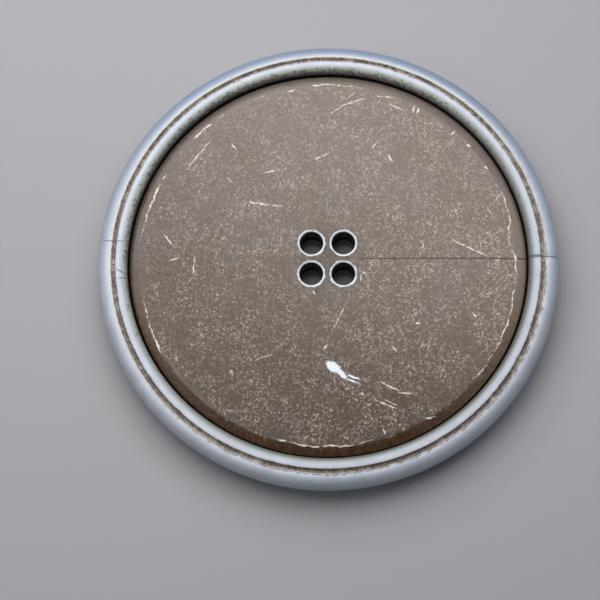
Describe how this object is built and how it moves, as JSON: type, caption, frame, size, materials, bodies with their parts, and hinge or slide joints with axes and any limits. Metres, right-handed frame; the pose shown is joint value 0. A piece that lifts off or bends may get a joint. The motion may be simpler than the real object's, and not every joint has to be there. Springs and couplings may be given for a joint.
{
  "type": "coat button",
  "caption": "Large round coat button: a worn brown lacquered disc with sewing holes, set in a silver metallised rim with a rolled edge and a fine groove.",
  "frame": {"origin": "centre of the back, on the plane that the button lies on", "axes": "+Z out of the face; +X and +Y along the sides of the square of sewing holes, with +X towards the weld line"},
  "size_m": [0.0508, 0.0508, 0.0045],
  "materials": {
    "metallised_rim": "silver metallised, satin, worn at the edges",
    "brown_lacquer": "brown lacquer over silver metallising, scratched and worn",
    "set_adhesive": "set clear adhesive, slightly yellow"
  },
  "bodies": {
    "root": {"rim_cup": "metallised_rim", "face_disc": "brown_lacquer", "adhesive_film": "set_adhesive"}
  },
  "joints": []
}
